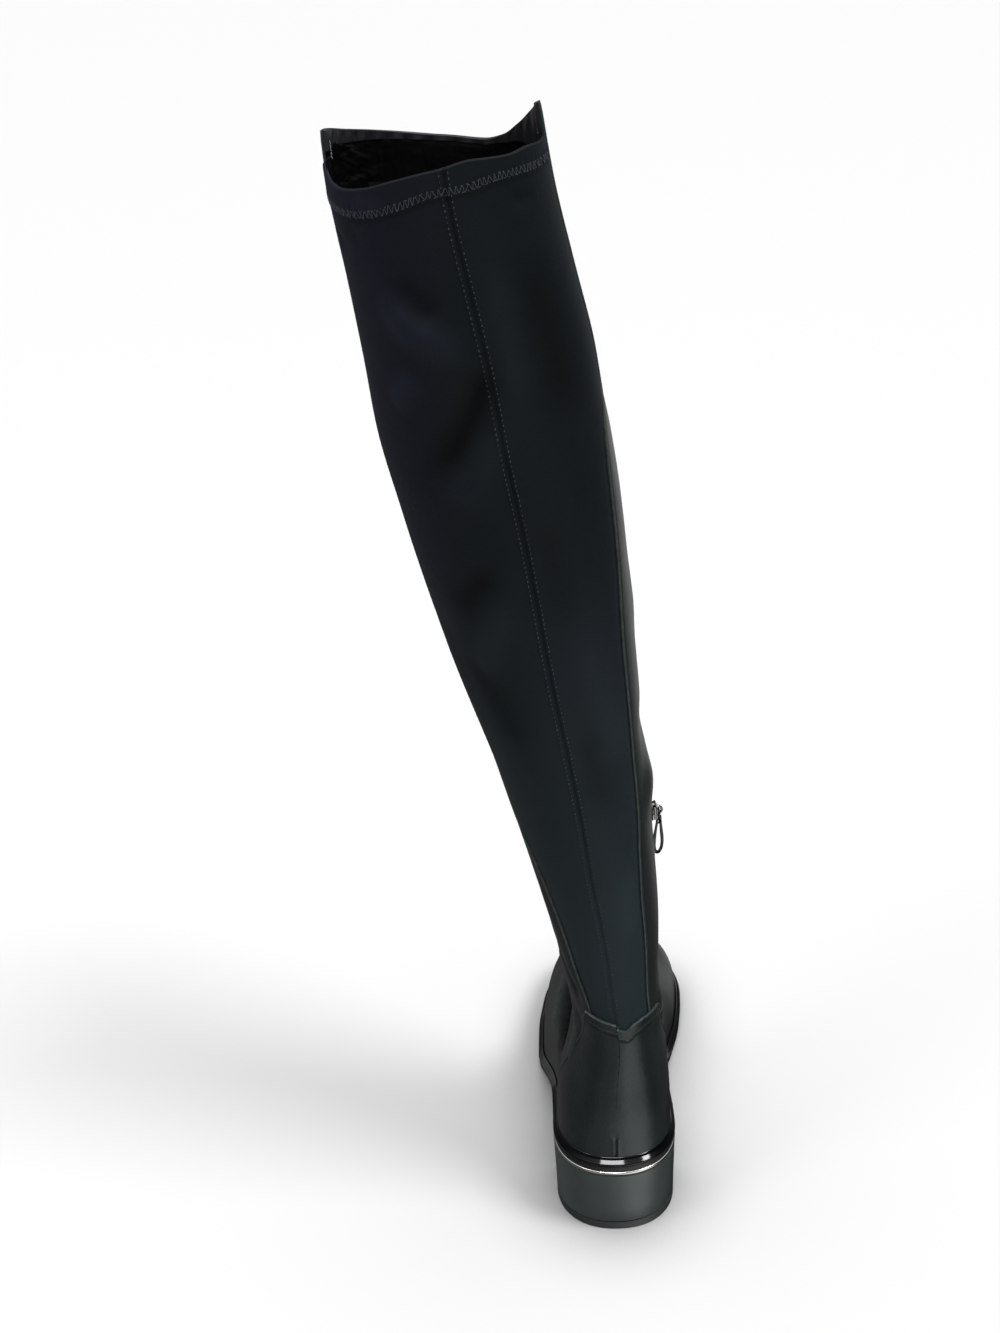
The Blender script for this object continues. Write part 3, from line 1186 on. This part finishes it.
def sliderAxes():
    # the slider's own axes in mm: forward along the boot, up the shaft, outward
    line, level = zipSizes["line"], slider["height"]
    spots = [np.array([float(surfaceX(line + f, level + u, -1.0)), -line - f, level + u])
             for f, u in ((0.0, 0.0), (5.0, 0.0), (0.0, 5.0))]
    forward = unit(spots[1] - spots[0])
    out = unit(np.cross(forward, spots[2] - spots[0]))
    out = out if out[0] < 0 else -out
    return spots[0], forward, unit(np.cross(out, forward)), out


def tubeLoops(path, wide, deep, planeNormal, closed=False, sides=10):
    # rings of an oval wire along a path
    path = np.asarray(path, dtype=float)
    run = unit(np.roll(path, -1, axis=0) - np.roll(path, 1, axis=0) if closed else np.gradient(path, axis=0))
    normal = unit(np.broadcast_to(np.asarray(planeNormal, float), path.shape))
    beside = unit(np.cross(normal, run))
    turn = np.arange(sides) * 2 * math.pi / sides
    wide, deep = (np.broadcast_to(size, len(path))[:, None, None] for size in (wide, deep))
    spread = beside[:, None] * np.cos(turn)[:, None] * wide + normal[:, None] * np.sin(turn)[:, None] * deep
    return path[:, None] + spread


def levelLoops(outline, levels, sizes):
    # one flat outline at several levels and sizes
    return np.array([np.column_stack([outline * size, np.full(len(outline), level)])
                     for level, size in zip(levels, sizes)])


def makeSlider():
    low, top = slider["standoff"], slider["standoff"] + slider["depth"]
    plate = smoothLoop(mirrored(slider["plate"]), 56)
    parts = []
    for under, over, edge in ((top - 1.5, top - 0.2, 0.9), (low - 0.7, low + 0.2, 0.6)):
        levels = [under + (over - under) * share for share, _ in slider["plateEdge"]]
        sizes = [1 - inset * edge / slider["plateHalf"] for _, inset in slider["plateEdge"]]
        parts.append((levelLoops(plate, levels, sizes), False))
    # the neck between the plates, and a cheek down each side
    parts.append((levelLoops(smoothLoop(slider["neck"], 20), (low - 0.2, top - 1.0), (1, 1)), False))
    down = np.linspace(0.0, 8.8, 14)
    for side in (-1.0, 1.0):
        way = np.column_stack([side * (3.7 - 0.10 * down - 0.004 * down ** 2), 4.0 - down, np.full(14, top - 1.9)])
        parts.append((tubeLoops(way, 0.38, 0.95, (0, 0, 1), sides=8), False))
    turn = np.linspace(-0.25, math.pi + 0.25, 24)
    rise = slider["bail"] * 1.11 * np.sin(turn)
    arch = np.column_stack([0 * turn, slider["bail"] * np.cos(turn), top - 0.3 + rise])
    parts.append((tubeLoops(arch, slider["bailWire"], slider["bailWire"] * 1.25, (1, 0, 0)), False))
    points, faces = joinParts(parts)
    here, *axes = sliderAxes()
    points = (here + points @ np.array(axes)) * (1, -1, 1)
    return makePiece("zipSlider", points, faces, nickelPlate, "nickel", replaces="zip_slider")


def makePull():
    # a short link on the bail with a drop shaped loop hanging through it, turned a little toward the back
    here, forward, _, outerWay = sliderAxes()
    hinge = here + outerWay * (slider["standoff"] + slider["depth"] + pull["lift"])
    upright = np.array((0.0, 0.0, 1.0))
    bar = unit(forward * (1, 1, 0))
    out = np.cross(bar, upright)
    out = out if out[0] < 0 else -out

    def hang(points, turned):
        swing = math.radians(turned)
        across = bar * math.cos(swing) + out * math.sin(swing)
        leaning = -pull["lean"] * softStep((-points[:, 1:2] - 4.0) / 14.0) * out
        return hinge + points[:, :1] * across + points[:, 1:2] * upright + leaning, np.cross(across, upright)
    link, loop = smoothLoop(mirrored(pull["link"]), 40), smoothLoop(mirrored(pull["loop"]), 90)
    swell = pull["loopWire"] + pull["loopSwell"] * softStep((-loop[:, 1] - 7.0) / 12.0)
    parts = []
    for outline, turned, wide in ((link, pull["linkTurn"], pull["wire"]), (loop, pull["loopTurn"], swell)):
        path, normal = hang(outline, turned)
        parts.append((tubeLoops(path, wide, np.maximum(wide * 0.85, 0.42), normal, closed=True), True))
    # the pinched collar above the drop
    path, normal = hang(np.column_stack([np.zeros(6), np.linspace(-7.0, -9.4, 6)]), pull["loopTurn"])
    parts.append((tubeLoops(path, pull["collarWide"], pull["collarDeep"], normal), False))
    points, faces = joinParts(parts)
    return makePiece("zipPull", points * (1, -1, 1), faces, pullNickel, "pull_nickel", replaces="zip_pull",
                     body="pull")


makeTape()
zipSlider = makeSlider()
zipPull = makePull()
print("zip made")


# stitches grow along paths by Geometry Nodes: a path mesh carries the outward direction at each point
def newTree(name, sockets):
    tree = bpy.data.node_groups.new(name, "GeometryNodeTree")
    tree.is_modifier = True
    tree.interface.new_socket("Stitches", in_out="OUTPUT", socket_type="NodeSocketGeometry")
    tree.interface.new_socket("Path", in_out="INPUT", socket_type="NodeSocketGeometry")
    for label, kind in sockets:
        tree.interface.new_socket(label, in_out="INPUT", socket_type=kind)
    return tree, addNode(tree, "NodeGroupInput").outputs, addNode(tree, "NodeGroupOutput")


def finishTree(tree, geometry, thread, exit):
    real = addNode(tree, "GeometryNodeRealizeInstances", i0=geometry)
    painted = addNode(tree, "GeometryNodeSetMaterial", i0=real.outputs[0], Material=thread)
    smooth = addNode(tree, "GeometryNodeSetShadeSmooth", i0=painted.outputs[0])
    tree.links.new(smooth.outputs[0], exit.inputs[0])
    return tree


def stitchTree():
    # one oval stitch at every pitch, along the path and square to the surface
    number = "NodeSocketFloat"
    tree, given, exit = newTree("sewn stitches", (
        ("Pitch", number), ("Length", number), ("Width", number), ("Height", number), ("Unevenness", number),
        ("Seed", "NodeSocketInt"), ("Thread", "NodeSocketMaterial")))
    line = addNode(tree, "GeometryNodeMeshToCurve", i0=given["Path"])
    spots = addNode(tree, "GeometryNodeResampleCurve", {"mode": "LENGTH"}, Curve=line.outputs[0],
                    Length=given["Pitch"])
    along = addNode(tree, "GeometryNodeInputTangent")
    out = addNode(tree, "GeometryNodeInputNamedAttribute", {"data_type": "FLOAT_VECTOR"}, Name="out")
    turned = addNode(tree, "FunctionNodeAlignRotationToVector", {"axis": "X"}, Vector=along.outputs[0])
    turned = addNode(tree, "FunctionNodeAlignRotationToVector", {"axis": "Z", "pivot_axis": "X"},
                     Rotation=turned.outputs[0], Vector=out.outputs[0])
    smallest = addNode(tree, "ShaderNodeMath", {"operation": "SUBTRACT"}, i0=1.0, i1=given["Unevenness"])
    spread = addNode(tree, "FunctionNodeRandomValue", {"data_type": "FLOAT"}, i2=smallest.outputs[0], i3=1.0,
                     i8=given["Seed"])
    size = addNode(tree, "ShaderNodeCombineXYZ", X=given["Length"], Y=given["Width"], Z=given["Height"])
    size = addNode(tree, "ShaderNodeVectorMath", {"operation": "SCALE"}, i0=size.outputs[0], Scale=spread.outputs[1])
    bead = addNode(tree, "GeometryNodeMeshUVSphere", Segments=7, Rings=5, Radius=0.5)
    row = addNode(tree, "GeometryNodeInstanceOnPoints", Points=spots.outputs[0], Instance=bead.outputs[0],
                  Rotation=turned.outputs[0], Scale=size.outputs[0])
    return finishTree(tree, row.outputs[0], given["Thread"], exit)


def threadTree():
    # one continuous thread that follows the path
    tree, given, exit = newTree("looped thread", (("Width", "NodeSocketFloat"), ("Thread", "NodeSocketMaterial")))
    line = addNode(tree, "GeometryNodeMeshToCurve", i0=given["Path"])
    radius = addNode(tree, "ShaderNodeMath", {"operation": "MULTIPLY"}, i0=given["Width"], i1=0.5)
    ring = addNode(tree, "GeometryNodeCurvePrimitiveCircle", {"mode": "RADIUS"}, Resolution=5,
                   Radius=radius.outputs[0])
    tube = addNode(tree, "GeometryNodeCurveToMesh", Curve=line.outputs[0], Profile_Curve=ring.outputs[0],
                   Fill_Caps=True)
    return finishTree(tree, tube.outputs[0], given["Thread"], exit)


def sew(name, tree, paths, slot="upper_leather", **values):
    # paths are pairs of points and outward directions; the finished stitches are one plain mesh; sizes are in mm
    points = np.concatenate([toWorld(path[0]) for path in paths])
    out = np.concatenate([path[1] * (1, -1, 1) for path in paths])
    edges, start = [], 0
    for path in paths:
        edges += [(start + i, start + i + 1) for i in range(len(path[0]) - 1)]
        start += len(path[0])
    mesh = bpy.data.meshes.new(name + "Path")
    mesh.from_pydata(points.tolist(), edges, [])
    mesh.attributes.new("out", "FLOAT_VECTOR", "POINT").data.foreach_set("vector", out.ravel())
    holder = addObject(name + "Path", mesh)
    modifier = holder.modifiers.new("stitches", "NODES")
    modifier.node_group = tree
    for item in tree.interface.items_tree:
        if item.in_out == "INPUT" and item.name in values:
            value, inMm = values[item.name], item.name in ("Pitch", "Length", "Width", "Height")
            modifier[item.identifier] = value * millimetre if inMm else value
    graph = bpy.context.evaluated_depsgraph_get()
    grown = bpy.data.meshes.new_from_object(holder.evaluated_get(graph))
    bpy.data.objects.remove(holder)
    grown.name = name
    piece = addObject(name, grown)
    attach(piece, "boot")
    print("  ", name, len(grown.polygons), "faces")


def stretchPath(angle, z, raised):
    # a path on the stretch panel
    arc = (angle - backSeam(z)) / degreesPerMm(angle, z)
    fromSeam = np.minimum(outerSeam(z) - angle, angle - innerSeam(z) + 360.0) / degreesPerMm(angle, z)
    return formPath(angle, heightFor(angle, z), stretchLift(angle, z, fromSeam, arc) + raised)


def besideBack(z, distance):
    # angle that lies a distance in mm round from the back seam
    step = degreesPerMm(backSeam(z), z)
    angle = backSeam(z) + distance * step
    for _ in range(6):
        angle = backSeam(z) + distance * (step + degreesPerMm(angle, z)) / 2
    return angle


stitchSizes = {
    "hemPitch": 2.7, "hemTall": 3.9, "hemSway": 0.38, "needleApart": 1.5, "backPitch": 2.6, "backApart": 2.1,
    "edgePitch": 2.5, "edgeInset": 2.3, "zipInset": 6.2, "zipLow": 92.0, "zipHigh": 262.0, "raised": 0.1,
    "quarterRows": (2.4, 4.6), "bandInset": 1.4, "toothApart": 0.95,
}
# rows up the back: lowest and highest z, lift over the knit, and size
backRows = (("backSeamStitches", 300.0, 634.0, 0.02, 1.0), ("lowBackStitches", 160.0, 300.0, -0.06, 0.7))


def sewHem(beads, loops):
    # a looped cover thread between two rows of needle stitches
    random = np.random.default_rng(7)
    pitch = stitchSizes["hemPitch"]
    angle = np.linspace(-81.0, 84.5, 700)
    length = runLength(place(angle, heightFor(angle, read(hemLine, 1, angle))), 0)
    count = 2 * int(length[-1] / pitch)
    corners, sides = [], []
    for i in range(count):
        corners.append((i + random.uniform(-stitchSizes["hemSway"], stitchSizes["hemSway"])) * pitch / 2)
        sides.append((1 if i % 2 else -1) * stitchSizes["hemTall"] / 2 * random.uniform(0.55, 1.0))
    fine = np.linspace(0, count - 1.001, count * 4)
    whole = np.floor(fine).astype(int)
    weights = cubic(fine - whole)
    at = [np.clip(whole + i - 1, 0, count - 1) for i in range(4)]
    walk, rise = (sum(weights[i] * np.array(steps)[at[i]] for i in range(4)) for steps in (corners, sides))
    turn = np.interp(walk, length, angle)
    zigzag = stretchPath(turn, read(hemLine, 1, turn) + rise, 0.16)
    sew("hemThread", loops, [zigzag], Width=0.26, Thread=stretchThread)
    apart = stitchSizes["needleApart"]
    rows = [stretchPath(angle, read(hemLine, 1, angle) + side * apart, 0.0) for side in (-1, 1)]
    sew("hemNeedleRows", beads, rows, Pitch=pitch, Length=1.1, Width=0.4, Height=0.4, Unevenness=0.4, Seed=3,
        Thread=stretchThread)


def sewBack(beads):
    # two rows up the centre back that fade into the fabric toward the ankle
    pitch = stitchSizes["backPitch"]
    for name, low, high, raised, size in backRows:
        rows = []
        for side in (-1.0, 1.0):
            z = np.linspace(high - (side + 1) * pitch / 4, low, 400)
            rows.append(stretchPath(besideBack(z, side * stitchSizes["backApart"]), z, raised))
        sew(name, beads, rows, Pitch=pitch, Length=1.3 * size, Width=0.78 * size, Height=0.55, Unevenness=0.5,
            Seed=5, Thread=seamThread)


def upperRows():
    # both seams, the top edge, and round the zip
    inset, aside, lift = stitchSizes["edgeInset"], stitchSizes["zipInset"], leather["lift"] - stitchSizes["raised"]
    z = np.linspace(152.0, 632.0, 600)
    turn = np.linspace(90.0, 268.0, 400)
    rows = [formPath(shifted(outerSeam(z), z, inset), z, lift), formPath(shifted(innerSeam(z), z, -inset), z, lift)]
    rows.append(formPath(turn, read(leatherRim, 1, turn) - inset, lift))
    z = np.linspace(stitchSizes["zipLow"], stitchSizes["zipHigh"], 260)
    rows += [formPath(shifted(zipAngle(z), z, side * aside), z, lift + 0.12) for side in (-1.0, 1.0)]
    for level in (stitchSizes["zipLow"] - 0.5, stitchSizes["zipHigh"] + 0.5):
        z = np.full(20, level)
        rows.append(formPath(shifted(zipAngle(z), z, np.linspace(-aside, aside, 20)), z, lift + 0.12))
    return rows


def quarterRows():
    down = np.linspace(0.0, 0.97, 240)
    front, rear = alongRows(quarter["front"], down), alongRows(quarter["rear"], down)
    for inset in stitchSizes["quarterRows"]:
        spots = front + (rear - front) * inset / np.linalg.norm(rear - front, axis=1)[:, None]
        turn, height = ringAt(spots[:, 0], spots[:, 1], -1.0)
        yield formPath(turn, height, quarter["lift"] - 0.08)


def counterRows():
    # under the turned band, and in from both side edges
    share = np.linspace(0.0, 1.0, 90)[:, None]
    grid, normal, fromTop, _ = counterSurface(share, np.linspace(-0.985, 0.985, 241)[None, :])
    lift = counter["lift"] + counter["thickness"] * counter["padding"]
    distance = counter["band"] - stitchSizes["bandInset"]
    near = np.clip(np.abs(fromTop - distance).argmin(axis=0), 1, 88)
    columns = np.arange(len(near))
    low, high = fromTop[near + 1, columns], fromTop[near - 1, columns]
    mix = np.clip((distance - low) / (high - low), 0, 1)[:, None]
    spots = grid[near + 1, columns] * (1 - mix) + grid[near - 1, columns] * mix
    yield spots + normal[near, columns] * (lift + 0.36), normal[near, columns]
    for edge in (-1.0, 1.0):
        trim = counterGrid(share, edge * np.array([[0.999, 0.99, 0.96, 0.92, 0.88, 0.8]]))[2:84]
        spots = []
        for row, gone in zip(trim, runLength(trim, 1)):
            where = np.interp(stitchSizes["edgeInset"], gone, np.arange(len(gone)))
            spots.append([np.interp(where, np.arange(len(gone)), row[:, axis]) for axis in range(3)])
        out = normal[2:84, 0 if edge < 0 else -1]
        yield np.array(spots) + out * (lift - stitchSizes["raised"]), out


def sewTeeth(beads):
    # the two rows of coil teeth mesh, half a pitch apart
    pitch, rows = zipSizes["toothPitch"], []
    for side in (-1.0, 1.0):
        z = np.linspace(zipSizes["bottom"] + 1.0, zipSizes["top"] - 4.0, 400) + (side + 1) * pitch / 4
        rows.append(inSlit(z, np.full(400, side * stitchSizes["toothApart"]), zipSizes["tapeLift"] + 0.35))
    sew("zipTeeth", beads, rows, "zip_coil", Pitch=pitch, Length=zipSizes["toothWidth"],
        Width=zipSizes["toothLength"], Height=1.0, Unevenness=0.0, Seed=1, Thread=coilNylon)


def sewTacks(beads):
    # the pale tack under the dip of the counter, and those at both ends of the facing
    grid, normal, _, _ = counterSurface(np.linspace(0.80, 0.93, 3)[:, None], np.linspace(-0.19, -0.11, 10)[None, :])
    rows = [(grid[1] + normal[1] * 1.5, normal[1])]
    for turn, low in ((89.0, 633.0), (90.6, 632.0), (268.6, 640.0)):
        spots, out = formPath(np.full(12, turn), np.linspace(low, low + 7.0, 12), -3.4)
        rows.append((spots, -out))
    sew("facingTacks", beads, rows, Pitch=1.7, Length=1.2, Width=0.5, Height=0.5, Unevenness=0.3, Seed=2,
        Thread=tackThread)


beadTree, loopTree = stitchTree(), threadTree()
sewHem(beadTree, loopTree)
sewBack(beadTree)
sew("leatherStitches", beadTree, [*upperRows(), *quarterRows(), *counterRows()], Pitch=stitchSizes["edgePitch"],
    Length=1.9, Width=0.45, Height=0.42, Unevenness=0.12, Seed=11, Thread=sewingThread)
sewTeeth(beadTree)
sewTacks(beadTree)
print("stitches made")


studio = {
    "floor": "#d3d3d3", "reach": 16.0, "contact": 0.055, "wall": "#f7f7f7", "ceiling": 2.2, "sides": 0.14,
    "camera": (0.015, 0.778, 0.7645), "turn": (63.409, 2.715, -178.413), "lens": 44.5, "sensor": 36,
    # direction of a patch of the room, where it starts as a cosine, and how much it adds
    "patches": (
        ((-0.47, 0.64, -0.61), 0.81, 1.6), ((0.30, 0.72, -0.62), 0.84, 0.3), ((-0.95, 0.1, -0.1), 0.72, -0.13),
        ((-0.37, -0.86, -0.34), 0.945, 0.6), ((-0.20, -0.62, -0.76), 0.80, -0.14),
    ),
    # a wide soft key from the inner side: direction, strength, spread
    "key": ((-0.48, 0.20, 0.85), 1.5, 18),
    # a weak raking light from the upper outer side that draws the folds: place, aim, size, power
    "rake": ((0.9, 0.5, 1.5), (0, 0, 0.5), (0.35, 0.35), 3),
    # two strips that only the glossy rand and the plated parts see
    "glints": {"glint middle": ((0.09, 1.02, 1.1), (0, 0, 0.05), (0.62, 0.3), 18),
               "glint inner": ((-0.79, 0.59, 0.855), (0, 0, 0.05), (0.24, 0.26), 8)},
}


def makeFloor():
    reach = studio["reach"]
    mesh = bpy.data.meshes.new("floor")
    corners = [(-reach, -reach, 0), (reach, -reach, 0), (reach, reach, 0), (-reach, reach, 0)]
    mesh.from_pydata(corners, [], [(0, 1, 2, 3)])
    floor = addObject("floor", mesh)
    paint = plainMaterial("matte studio floor", studio["floor"], 0.9, Specular_IOR_Level=0.1)
    # the paper darkens close to what stands on it
    tree = paint.node_tree
    hidden = addNode(tree, "ShaderNodeAmbientOcclusion", {"samples": 8}, Distance=studio["contact"]).outputs["AO"]
    paper = scaleColour(tree, linear(studio["floor"])[:3], mapRange(tree, hidden, 0.35, 0.95, 0.55, 1.0))
    tree.links.new(paper, tree.nodes["Principled BSDF"].inputs["Base Color"])
    mesh.materials.append(paint)
    floor.visible_glossy = False


def makeRoom():
    # a soft room: bright ceiling, dim walls, and a few brighter or darker patches
    world = bpy.data.worlds.new("soft room")
    world.use_nodes = True
    room = world.node_tree
    background = room.nodes["Background"]
    background.inputs["Color"].default_value = (1.0, 1.0, 1.0, 1.0)
    direction = addNode(room, "ShaderNodeTexCoord").outputs["Generated"]
    height = addNode(room, "ShaderNodeSeparateXYZ", Vector=direction).outputs["Z"]
    total = mapRange(room, height, 0.45, 0.98, studio["sides"], studio["ceiling"], smooth=True)
    for toward, start, strength in studio["patches"]:
        aim = Vector(toward).normalized()
        facing = addNode(room, "ShaderNodeVectorMath", {"operation": "DOT_PRODUCT"}, i0=direction, i1=aim)
        patch = mapRange(room, facing.outputs["Value"], start, 1.0, 0.0, strength, smooth=True)
        total = combine(room, "ADD", total, patch)
    room.links.new(total, background.inputs["Strength"])
    # beyond the floor the eye sees a plain pale wall
    wall = addNode(room, "ShaderNodeBackground", Color=linear(studio["wall"]), Strength=1.0)
    seen = addNode(room, "ShaderNodeLightPath").outputs["Is Camera Ray"]
    either = addNode(room, "ShaderNodeMixShader", i0=seen, i1=background.outputs[0], i2=wall.outputs[0])
    room.links.new(either.outputs[0], room.nodes["World Output"].inputs["Surface"])
    bpy.context.scene.world = world


def addLamp(name, kind, energy, toward, place=(0.0, 0.0, 0.0)):
    lamp = addObject(name, bpy.data.lights.new(name, kind))
    lamp.data.energy = energy
    lamp.location = place
    lamp.rotation_euler = toward.to_track_quat("-Z", "Y").to_euler()
    return lamp


def addSoftbox(name, place, aim, size, power):
    box = addLamp(name, "AREA", power, Vector(aim) - Vector(place), place)
    box.data.shape = "RECTANGLE"
    box.data.size, box.data.size_y = size
    return box


makeFloor()
makeRoom()
toward, strength, spread = studio["key"]
addLamp("key", "SUN", strength, -Vector(toward)).data.angle = math.radians(spread)
addSoftbox("rake", *studio["rake"])
shiny = bpy.data.collections.new("shiny parts")
bpy.context.scene.collection.children.link(shiny)
for piece in (rand, metalTrim, zipSlider, zipPull):
    shiny.objects.link(piece)
for name, values in studio["glints"].items():
    glint = addSoftbox(name, *values)
    glint.visible_diffuse = False
    glint.light_linking.receiver_collection = shiny

cameraData = bpy.data.cameras.new("camera")
cameraData.lens, cameraData.sensor_width = studio["lens"], studio["sensor"]
camera = addObject("camera", cameraData)
camera.location = studio["camera"]
camera.rotation_euler = [math.radians(value) for value in studio["turn"]]
bpy.context.scene.camera = camera
bpy.context.scene.view_settings.view_transform = "Standard"
print("stage set")
